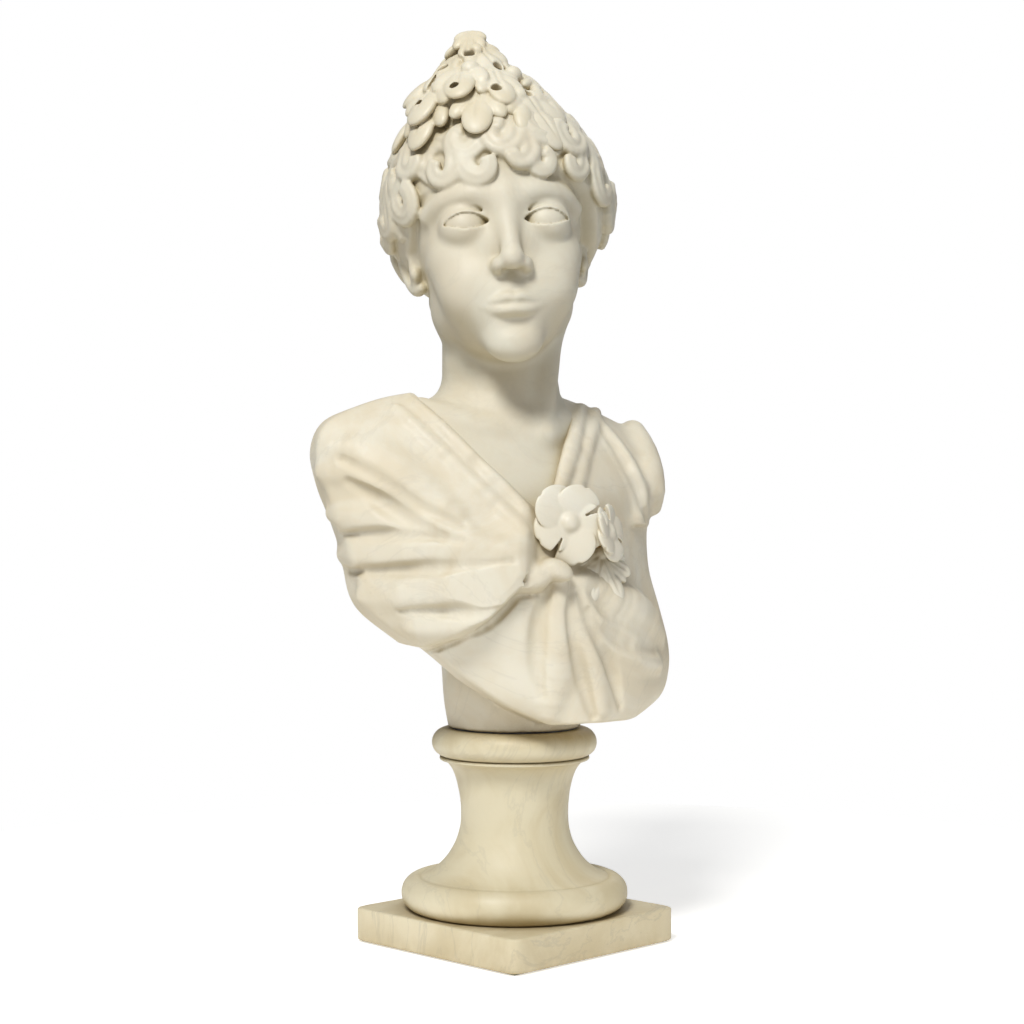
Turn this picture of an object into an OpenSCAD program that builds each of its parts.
// Marble bust of a draped young woman with a spray of leaves in her hair,
// pinned so that it turns and lifts off on a waisted socle with a square plinth.
// Millimetres, +Z up. The origin is the middle of the underside, the sitter looks along -Y.

/* [Plinth and socle] */
// Side of the square plinth slab
plinth_side = 140; // [120:1:190]
// Thickness of the plinth slab
plinth_h = 20; // [16:1:32]
// Turn of the square plinth against the sitter
plinth_turn = 45; // [0:5:90]
// Rounding of the plinth's upright corners
plinth_corner_r = 2; // [0.5:0.5:6]
// Thickness of the felt under the plinth
felt_t = 1; // [0.5:0.5:3]
// Height of the turned socle
socle_h = 110; // [90:1:150]
// Radius of the socle's waist
waist_r = 32.8; // [26:0.2:40]
// Radius of the socle's top moulding
cap_r = 50.5; // [46:0.5:60]
// Height of the socle's bottom moulding
base_torus_h = 20; // [14:1:28]
// Height of the socle's top moulding
cap_torus_h = 17; // [12:1:22]

/* [Pin and fixings] */
// Diameter of the pin that the bust turns on
pin_d = 14; // [10:0.5:18]
// Length of the pin inside the socle
pin_in_socle = 50; // [35:1:60]
// Length of the pin inside the bust
pin_in_bust = 55; // [40:1:70]
// Wall of the brass sleeves round the pin
sleeve_wall = 3; // [2:0.5:5]
// Thickness of the lead washer that the bust turns on
washer_t = 1; // [0.5:0.5:2]
// Diameter of the iron rod that holds the socle to the plinth
rod_d = 10; // [8:1:14]
// Thickness of the square nut on the rod
nut_h = 6; // [4:0.5:9]

/* [Bust] */
// Height of the draped bust, from its foot to the base of the neck
bust_h = 207; // [170:1:260]
// Width of the draped bust across the shoulders
bust_w = 260; // [210:1:320]
// Depth scale of the draped bust, from the chest to the back
bust_d = 80; // [66:1:98]
// Turn of the shoulders towards the sitter's left
shoulder_turn = 20; // [0:1:30]
// Radius of the foot that stands on the socle
foot_r = 40.5; // [32:0.5:44]
// Height of the folds of cloth
fold_h = 7; // [4:0.5:9]
// Depth of the bare chest under the edge of the cloth
chest_inset = 4; // [2:0.5:7]

/* [Head] */
// Height of the head, from the chin to the crown of the hair
head_h = 170; // [140:1:210]
// Turn of the head towards the sitter's left
head_turn = 7; // [-10:1:20]
// Lean of the head backwards
head_lean = 8; // [0:1:14]

/* [Flowers] */
// Radius of the front blossom of the corsage
blossom_r = 21; // [16:0.5:26]
// Thickness of a petal
petal_t = 3; // [2:0.5:5]
// Length of the largest leaf in the hair
leaf_l = 60; // [46:1:72]
// Diameter of the small brass pins under the flowers and leaves
peg_d = 4; // [3:0.5:6]

/* [Hidden] */

marble = [0.90, 0.87, 0.78];
white_marble = [0.93, 0.91, 0.85];
warm_marble = [0.87, 0.82, 0.70];
brass = [0.78, 0.62, 0.34];
iron = [0.33, 0.32, 0.31];
lead = [0.50, 0.51, 0.53];
felt_green = [0.22, 0.33, 0.24];

bed = 0.1;              // cement bed round a part that is set in the marble
run = 0.05;             // running clearance round the turning pin
set_gap = 0.3;          // joint between the head piece and the draped bust
neck_cut = 29;          // depth of the neckline's wedge
block_levels = 48;      // levels in the loft of the draped block
knot_s = 0.06;          // place of the gathered knot across the front
knot_f = 0.46;          // and up it
head_levels = 50;       // levels in the loft of the head piece
head_foot = -0.34;      // its lowest level, a share of the head's height from the base of the neck
head_crown = 1.04;      // and its highest
neck_dowel_l = 46;      // length of the iron dowel between the head piece and the draped bust
stand = 7;              // height of the calyx under a blossom
smooth_fn = 96;

plinth_z = felt_t;
socle_z = plinth_z + plinth_h;
socle_top_z = socle_z + socle_h;
foot_z = socle_top_z + washer_t;
neck_z = foot_z + bust_h;

pin_r = pin_d / 2;
sleeve_in_r = pin_r + run;
sleeve_r = sleeve_in_r + sleeve_wall;
rod_r = rod_d / 2;
nut_side = rod_d * 1.7;
fixing_washer_r = nut_side * 0.75;
fixing_washer_t = 2;
recess_r = fixing_washer_r + 2;
recess_h = nut_h + fixing_washer_t + 2;
rod_in_socle = min(45, socle_h - pin_in_socle - 8);
base_r = plinth_side / 2 - 0.8;
peg_r = peg_d / 2;
peg_l = peg_d * 5;
blossom_peg_up = petal_t * 0.7;
spray_peg_up = peg_l * 0.6;
spray_z = neck_z + head_h * 0.985;

// ---------- interpolation ----------

function clamp01(t) = min(1, max(0, t));
// Smooth curve through rows whose first entry is the place along the curve.
function row_at(rows, i) = rows[min(len(rows) - 1, max(0, i))];
function spline(p0, p1, p2, p3, t) =
    ((2 * p1) + (p2 - p0) * t + (2 * p0 - 5 * p1 + 4 * p2 - p3) * t * t
    + (3 * p1 - p0 - 3 * p2 + p3) * t * t * t) / 2;
function find_row(rows, f, i = 0) =
    (i >= len(rows) - 2 || f < rows[i + 1][0]) ? i : find_row(rows, f, i + 1);
function blend_rows(rows, f) =
    let (i = find_row(rows, f), a = rows[i], b = rows[i + 1], t = clamp01((f - a[0]) / (b[0] - a[0])))
    spline(row_at(rows, i - 1), a, b, row_at(rows, i + 2), t);
function bump(x, middle, width) = exp(-pow((x - middle) / width, 2));

// ---------- a closed loft through rings of equal length ----------

module loft(rings) {
    n = len(rings[0]);
    last = len(rings) - 1;
    polyhedron(
        points = [for (ring = rings) for (p = ring) p],
        faces = concat(
            [[for (j = [0 : n - 1]) j]],
            [[for (j = [n - 1 : -1 : 0]) last * n + j]],
            [for (i = [0 : last - 1]) for (j = [0 : n - 1])
                let (k = (j + 1) % n)
                each [
                    [i * n + j, (i + 1) * n + j, (i + 1) * n + k],
                    [i * n + j, (i + 1) * n + k, i * n + k]]]),
        convexity = 10);
}

// ---------- plinth, socle and fixings ----------

module base_felt() {
    color(felt_green)
        rotate(plinth_turn)
            difference() {
                translate([-plinth_side / 2 + 4, -plinth_side / 2 + 4, 0])
                    cube([plinth_side - 8, plinth_side - 8, felt_t]);
                translate([0, 0, -1]) cylinder(r = recess_r, h = felt_t + 2, $fn = smooth_fn);
            }
}

module plinth() {
    side = plinth_side - 2 * plinth_corner_r;
    color(warm_marble)
        rotate(plinth_turn)
            difference() {
                translate([0, 0, plinth_z]) linear_extrude(plinth_h) union() {
                    square([plinth_side, side], center = true);
                    square([side, plinth_side], center = true);
                    for (x = [-1, 1], y = [-1, 1])
                        translate([x * side / 2, y * side / 2]) circle(r = plinth_corner_r, $fn = 32);
                }
                translate([0, 0, plinth_z - 1]) {
                    cylinder(r = rod_r + bed, h = plinth_h + 2, $fn = smooth_fn);
                    cylinder(r = recess_r, h = recess_h + 1, $fn = smooth_fn);
                }
            }
}

module plinth_washer() {
    color(iron)
        translate([0, 0, plinth_z + recess_h - fixing_washer_t])
            difference() {
                cylinder(r = fixing_washer_r, h = fixing_washer_t, $fn = smooth_fn);
                translate([0, 0, -1]) cylinder(r = rod_r + bed, h = fixing_washer_t + 2, $fn = smooth_fn);
            }
}

module plinth_nut() {
    color(iron)
        translate([0, 0, plinth_z + recess_h - fixing_washer_t - nut_h])
            difference() {
                translate([-nut_side / 2, -nut_side / 2, 0]) cube([nut_side, nut_side, nut_h]);
                translate([0, 0, -1]) cylinder(r = rod_r + bed, h = nut_h + 2, $fn = smooth_fn);
            }
}

module tie_rod() {
    bottom = plinth_z + recess_h - fixing_washer_t - nut_h - 1;
    color(iron)
        translate([0, 0, bottom]) cylinder(r = rod_r, h = socle_z + rod_in_socle - bottom, $fn = smooth_fn);
}

// Half outline of the socle from its foot to its top, as [radius, height].
function torus_points(r, middle_r, z0, h) =
    [for (a = [-90 : 10 : 90]) [middle_r + (r - middle_r) * cos(a), z0 + h / 2 + h / 2 * sin(a)]];
function socle_points() =
    let (lip_r = base_r - 12, lip_z = base_torus_h - 1, cap_z = socle_h - cap_torus_h,
        fillet_r = cap_r - 4.5, neck_r = cap_r - 5.8, waist_z = lip_z + (cap_z - lip_z) * 0.51)
    concat(
        [[0, 0]],
        torus_points(base_r, base_r - 9, 0, base_torus_h),
        [[lip_r + 1, base_torus_h], [lip_r + 0.4, lip_z]],
        [for (a = [84 : -7 : 0])
            [lip_r - (lip_r - waist_r) * pow(cos(a), 1.3), waist_z - (waist_z - lip_z - 1.2) * sin(a)]],
        [for (a = [7 : 7 : 84])
            [neck_r - (neck_r - waist_r) * cos(a), waist_z + (cap_z - 2.4 - waist_z) * sin(a)]],
        [[neck_r, cap_z - 2.2], [fillet_r, cap_z - 2], [fillet_r, cap_z]],
        torus_points(cap_r, cap_r - 8.5, cap_z, cap_torus_h),
        [[0, socle_h]]);

module socle() {
    color(warm_marble)
        translate([0, 0, socle_z])
            difference() {
                rotate_extrude($fn = smooth_fn) polygon(socle_points());
                translate([0, 0, socle_h - pin_in_socle])
                    cylinder(r = sleeve_r + bed, h = pin_in_socle + 1, $fn = smooth_fn);
                translate([0, 0, -1]) cylinder(r = rod_r + bed, h = rod_in_socle + 2, $fn = smooth_fn);
            }
}

module sleeve(z, l) {
    translate([0, 0, z])
        difference() {
            cylinder(r = sleeve_r, h = l, $fn = smooth_fn);
            translate([0, 0, -1]) cylinder(r = sleeve_in_r, h = l + 2, $fn = smooth_fn);
        }
}

module socle_sleeve() {
    color(brass) sleeve(socle_top_z - pin_in_socle, pin_in_socle);
}

module bearing_washer() {
    color(lead)
        translate([0, 0, socle_top_z])
            difference() {
                cylinder(r = foot_r - 2.5, h = washer_t, $fn = smooth_fn);
                translate([0, 0, -1]) cylinder(r = pin_r + 1, h = washer_t + 2, $fn = smooth_fn);
            }
}

module turning_pin() {
    color(brass)
        translate([0, 0, socle_top_z - pin_in_socle])
            cylinder(r = pin_r, h = pin_in_socle + washer_t + pin_in_bust, $fn = smooth_fn);
}

module bust_sleeve() {
    color(brass) sleeve(foot_z, pin_in_bust);
}

// ---------- draped bust ----------
// The cut block of the shoulders. Each row: height share, left edge of the front, left edge of the back,
// right edge (shares of half the width), then the depth at the left edge, the front, the right edge and
// the back (shares of the depth).

BLOCK = [
    [0.034, -0.02, -0.09, 0.46, -0.78, -0.84, -0.60, -0.38],
    [0.087, -0.20, -0.28, 0.61, -0.74, -0.86, -0.50, -0.23],
    [0.150, -0.35, -0.42, 0.67, -0.68, -0.89, -0.45, -0.10],
    [0.242, -0.51, -0.61, 0.69, -0.58, -0.94, -0.39, 0.00],
    [0.353, -0.73, -0.70, 0.67, -0.45, -0.96, -0.28, 0.08],
    [0.473, -0.82, -0.78, 0.64, -0.38, -0.97, -0.19, 0.20],
    [0.594, -0.90, -0.85, 0.65, -0.33, -0.91, -0.14, 0.38],
    [0.715, -0.97, -0.93, 0.72, -0.28, -0.77, -0.10, 0.50],
    [0.810, -1.00, -0.98, 0.68, -0.25, -0.60, -0.06, 0.55],
    [0.889, -0.94, -0.94, 0.57, -0.20, -0.45, 0.00, 0.52],
    [0.945, -0.74, -0.74, 0.38, -0.13, -0.33, 0.02, 0.45],
    [0.985, -0.52, -0.52, 0.24, -0.08, -0.24, 0.04, 0.36],
];

function sag(s) = 1 - pow(abs(s), 2.2);
// The cloth is gathered in a knot, and its pleats run up to the covered shoulder and fan out downwards.
function pleats(s, f) =
    let (across = (s - knot_s) * bust_w * 0.4, up = (f - knot_f) * bust_h,
        reach = norm([across, up]), turn = atan2(up, across),
        shoulder = bump(turn, 148, 34) * abs(sin(turn * 11)),
        fan = bump(turn, -92, 50) * abs(sin(turn * 9)),
        arm = bump(s, 0.86, 0.20) * bump(f, 0.80, 0.14) * abs(sin((s + 0.25 * f) * 900)))
    fold_h * (clamp01(reach / 45) * (shoulder + fan) + 0.8 * arm);
// Point of the front at s across (-1 the sitter's right, 1 the left) and share f of the height, lifted
// by out.
function front(s, f, out = 0) =
    let (q = blend_rows(BLOCK, f), edge = q[4] + (q[6] - q[4]) * (s + 1) / 2)
    [bust_w / 2 * (q[1] + (q[3] - q[1]) * (s + 1) / 2),
        bust_d * (edge - ((q[4] + q[6]) / 2 - q[5]) * sag(s)) - out,
        foot_z + bust_h * f];
function back(s, f) =
    let (q = blend_rows(BLOCK, f), thick = 0.36 * sin(150 * clamp01(f + 0.1)),
        edge = q[4] + (q[6] - q[4]) * (s + 1) / 2 + thick)
    [bust_w / 2 * (q[2] + (q[3] - 0.02 - q[2]) * (s + 1) / 2),
        bust_d * (edge + (q[7] - (q[4] + q[6]) / 2 - thick) * sag(s)),
        foot_z + bust_h * f];

// One level of the shoulders' block: the draped front, then the hollowed back.
function block_ring(f) = concat(
    [for (s = [-1 : 0.05 : 1.001]) front(s, f, pleats(s, f) * sag(s) - fold_h / 2)],
    [for (s = [1 : -0.2 : -1.001]) back(s, f)]);
// The same level under the cloth, where the bare chest lies.
function chest_ring(f) = concat(
    [for (s = [-1 : 0.1 : 1.001]) front(s, f, -chest_inset)],
    [for (s = [1 : -0.2 : -1.001]) back(s, f)]);

// The support behind the chest, from the round foot up into the back.
function pillar_ring(t) =
    let (r = foot_r * (1 + 0.11 * sin(90 * clamp01(t * 4)) - 0.33 * clamp01((t - 0.3) / 0.7)),
        y = bust_d * 0.14 * t)
    [for (a = [0 : 15 : 345]) [r * cos(a), y + r * sin(a), foot_z + bust_h * 0.78 * t]];

// Bunched cloth where the drapery is gathered below the corsage.
module knot() {
    hull() {
        translate(front(knot_s - 0.12, knot_f, -2)) sphere(r = 9, $fn = 20);
        translate(front(knot_s + 0.06, knot_f + 0.03, 1)) sphere(r = 8, $fn = 20);
    }
}

// Wedge that opens the neckline in front of the throat, where the bare chest is set in.
module neckline(grow = 0) {
    rotate(shoulder_turn)
        hull()
            for (out = [12, -neck_cut]) {
                translate(front(0.10, 0.625, out)) sphere(r = 3 + grow, $fn = 16);
                for (s = [-0.66, 0.70])
                    for (lift = [0, 24])
                        translate(front(s, 0.955, out) + [0, 0, lift]) sphere(r = 3 + grow, $fn = 16);
            }
}

// The bare chest inside the neckline, in one piece with the neck.
module chest() {
    intersection() {
        neckline();
        rotate(shoulder_turn) loft([for (i = [0 : 16]) chest_ring(0.55 + 0.43 * i / 16)]);
    }
}

module draped_bust() {
    color(marble)
        difference() {
            rotate(shoulder_turn) {
                loft([for (i = [0 : block_levels]) block_ring(0.034 + (0.985 - 0.034) * i / block_levels)]);
                loft([for (i = [0 : 12]) pillar_ring(i / 12)]);
                knot();
            }
            neckline(set_gap);
            head_form(set_gap);
            translate([0, 0, foot_z - 1]) cylinder(r = sleeve_r + bed, h = pin_in_bust + 2, $fn = 48);
            neck_dowel_form(bed);
            blossom_place() peg_form(blossom_peg_up, bed);
            side_blossom_place() peg_form(blossom_peg_up, bed);
        }
}

// ---------- head ----------
// Sections of the head piece: the set-in chest, the neck and the head. Each row: height above the neck's
// base, centre x, centre y, half-width, reach to the front, reach to the back (shares of head_h), turn in
// degrees.

HEAD = [
    [-0.34, -0.020, 0.02, 0.19, 0.17, 0.15, 20],
    [-0.22, -0.028, 0.03, 0.215, 0.19, 0.17, 20],
    [-0.10, -0.034, 0.04, 0.215, 0.18, 0.19, 18],
    [-0.05, -0.036, 0.04, 0.215, 0.19, 0.21, 14],
    [0.00, -0.038, 0.03, 0.215, 0.21, 0.23, 8],
    [0.06, -0.040, 0.02, 0.215, 0.25, 0.24, 7],
    [0.10, -0.042, 0.01, 0.222, 0.36, 0.27, 7],
    [0.16, -0.045, 0.00, 0.255, 0.40, 0.32, 7],
    [0.25, -0.050, -0.01, 0.305, 0.42, 0.38, 7],
    [0.36, -0.058, -0.01, 0.345, 0.43, 0.42, 7],
    [0.55, -0.072, -0.01, 0.380, 0.44, 0.46, 7],
    [0.74, -0.085, -0.01, 0.400, 0.43, 0.46, 7],
    [0.86, -0.092, -0.01, 0.370, 0.39, 0.43, 7],
    [0.95, -0.097, 0.00, 0.290, 0.31, 0.36, 7],
    [1.01, -0.100, 0.01, 0.180, 0.20, 0.23, 7],
    [1.04, -0.100, 0.01, 0.050, 0.05, 0.07, 7],
];

// Raised and sunk features of a plain ideal face, ears and curled hair, by height share and angle from
// the nose.
function features(f, a) =
    let (side = abs(a), hairline = 0.80 - 0.36 * clamp01((side - 30) / 45))
    0.070 * bump(a, 0, 8) * bump(f, 0.40, 0.050)
    + 0.028 * bump(a, 0, 9) * bump(f, 0.49, 0.08)
    - 0.040 * bump(side, 22, 11) * bump(f, 0.53, 0.045)
    + 0.018 * bump(a, 0, 20) * bump(f, 0.28, 0.030)
    + 0.020 * bump(a, 0, 18) * bump(f, 0.14, 0.040)
    + 0.055 * bump(side, 96, 7) * bump(f, 0.44, 0.085)
    + 0.022 * clamp01((f - hairline) * 9) * (1 + sin(f * 2300 + 90 * sin(a * 5)) * cos(a * 9));

// The neck stays upright and the head leans back on it.
function lean_back(p, f) =
    let (tilt = head_lean * clamp01((f + 0.1) / 0.25), up = p[2] - neck_z)
    [p[0], p[1] * cos(tilt) + up * sin(tilt), neck_z + up * cos(tilt) - p[1] * sin(tilt)];

function head_ring(f, grow) =
    let (q = blend_rows(HEAD, f))
    [for (a = [0 : 7.5 : 352.5])
        let (rel = a > 180 ? a - 360 : a, reach = abs(rel) < 90 ? q[4] : q[5],
            r = 1 / pow(pow(abs(cos(a)) / reach, 2.2) + pow(abs(sin(a)) / q[3], 2.2), 1 / 2.2),
            out = head_h * (r + features(f, rel)) + grow,
            dir = a - 90 + q[6] + (f > 0.05 ? head_turn - 7 : 0))
        lean_back([head_h * q[1] + out * cos(dir), head_h * (q[2] - 0.05) + out * sin(dir),
            neck_z + head_h * (f - 0.03)], f)];

module head_form(grow = 0) {
    loft([for (i = [0 : head_levels])
        let (ring = head_ring(head_foot + (head_crown - head_foot) * i / head_levels, grow))
        i == 0 ? [for (p = ring) p - [0, 0, grow]] : ring]);
}

module neck_dowel_form(grow = 0) {
    middle_z = neck_z + head_h * (head_foot - 0.03);
    translate([-head_h * 0.02, -head_h * 0.03, middle_z - neck_dowel_l / 2 - grow])
        cylinder(r = 5 + grow, h = neck_dowel_l + 2 * grow, $fn = 48);
}

module neck_dowel() {
    color(iron) neck_dowel_form();
}

module head() {
    color(white_marble)
        difference() {
            union() {
                head_form();
                chest();
            }
            neck_dowel_form(bed);
            hair_spray_place() peg_form(spray_peg_up, bed);
        }
}

// ---------- flowers and leaves ----------

// A pin along Z whose top end is at height up.
module peg_form(up, grow = 0) {
    translate([0, 0, up - peg_l - grow]) cylinder(r = peg_r + grow, h = peg_l + 2 * grow, $fn = 32);
}

// A drooping leaf with lobed edges and a sunk middle rib, lying along +X from its stalk.
function leaf_ring(l, droop, u) =
    let (half_w = l * (0.03 + 0.40 * pow(sin(180 * pow(u, 0.75)), 0.7) * (0.70 + 0.30 * abs(cos(430 * u)))),
        half_t = l * (0.050 - 0.025 * u))
    [for (b = [0 : 30 : 330])
        [l * u, half_w * cos(b), half_t * sin(b) - droop * u * u + l * 0.06 * abs(cos(b)) * sin(180 * u)]];
module leaf(l, droop) {
    loft([for (i = [0 : 14]) leaf_ring(l, droop, i / 14)]);
}

module hair_spray_place() {
    translate([-head_h * 0.14, -head_h * 0.08, spray_z]) children();
}

// A round bud with a blunt tip.
module bud(r) {
    hull() {
        sphere(r = r, $fn = 16);
        translate([0, 0, r]) sphere(r = r * 0.4, $fn = 12);
    }
}

// The spray in the hair: drooping leaves, upright leaves and round buds between them.
module hair_spray_parts() {
    for (k = [0 : 6])
        let (turn = [205, 245, 290, 330, 20, 75, 140][k], size = [1, 0.85, 0.75, 0.9, 0.8, 0.75, 0.8][k])
            rotate(turn)
                translate([leaf_l * 0.1, 0, leaf_l * 0.12])
                    rotate([0, 12, 0])
                        leaf(leaf_l * size, leaf_l * size * 0.35);
    for (k = [0 : 2])
        rotate(170 + 100 * k)
            translate([leaf_l * 0.06, 0, leaf_l * 0.12])
                rotate([0, -74, 0])
                    leaf(leaf_l * (0.72 - 0.08 * k), 2);
    for (k = [0 : 7])
        rotate(20 + 45 * k)
            translate([leaf_l * (k % 2 == 0 ? 0.32 : 0.22), 0, leaf_l * (k % 2 == 0 ? 0.22 : 0.38)])
                bud(leaf_l * 0.10);
    translate([0, 0, -leaf_l * 0.2])
        cylinder(r1 = leaf_l * 0.60, r2 = leaf_l * 0.16, h = leaf_l * 0.8, $fn = 24);
}

module hair_spray() {
    color(marble)
        difference() {
            hair_spray_place() hair_spray_parts();
            head_form();
            hair_spray_place() peg_form(spray_peg_up, bed);
        }
}

module hair_spray_peg() {
    color(brass) hair_spray_place() peg_form(spray_peg_up);
}

// An open flower with broad notched petals, facing +Z with its back at the origin.
function petal_rim(a, petals) = 0.66 + 0.34 * pow(abs(cos(a * petals / 2)), 0.6);
function blossom_ring(r, petals, share, top) =
    [for (a = [0 : 7.5 : 352.5])
        let (out = r * share * (1 + (petal_rim(a, petals) - 1) * share),
            button = r * 0.10 * bump(share, 0, 0.25))
        [out * cos(a), out * sin(a), r * 0.24 * pow(share, 2) + (top ? petal_t + button : 0)]];

// The flower stands off the cloth on a short calyx.
module blossom(r, petals) {
    loft(concat(
        [for (share = [0.15, 0.4, 0.7, 0.92]) blossom_ring(r, petals, share, false)],
        [for (share = [1, 0.85, 0.65, 0.45, 0.28, 0.15]) blossom_ring(r, petals, share, true)]));
    translate([0, 0, -stand - 1]) cylinder(r = r * 0.3, h = stand + 1 + petal_t / 2, $fn = 32);
}

module blossom_place() {
    rotate(shoulder_turn) translate(front(0.22, 0.59, stand - fold_h / 2)) rotate([84, 0, -6]) children();
}

module side_blossom_place() {
    rotate(shoulder_turn) translate(front(0.42, 0.54, stand - fold_h / 2)) rotate([80, 0, 34]) children();
}

module corsage_blossom() {
    color(white_marble)
        difference() {
            blossom_place() blossom(blossom_r, 5);
            blossom_place() peg_form(blossom_peg_up, bed);
        }
}

module corsage_blossom_peg() {
    color(brass) blossom_place() peg_form(blossom_peg_up);
}

module corsage_side_blossom() {
    color(white_marble)
        difference() {
            side_blossom_place() blossom(blossom_r * 0.72, 5);
            side_blossom_place() peg_form(blossom_peg_up, bed);
        }
}

module corsage_side_peg() {
    color(brass) side_blossom_place() peg_form(blossom_peg_up);
}

// Three leaves that hang from one bud under the blossoms.
module corsage_leaves() {
    color(white_marble)
        rotate(shoulder_turn)
            translate(front(0.46, 0.49, -fold_h / 2 + 1)) rotate([86, 0, 24]) {
                for (k = [0 : 2])
                    rotate(49 * k - 148) leaf(blossom_r * (1.05 - 0.08 * k), 1 + 0.4 * k);
                sphere(r = blossom_r * 0.2, $fn = 24);
            }
}

base_felt();
plinth();
plinth_washer();
plinth_nut();
tie_rod();
socle();
socle_sleeve();
bearing_washer();
turning_pin();
bust_sleeve();
draped_bust();
neck_dowel();
head();
hair_spray();
hair_spray_peg();
corsage_blossom();
corsage_blossom_peg();
corsage_side_blossom();
corsage_side_peg();
corsage_leaves();
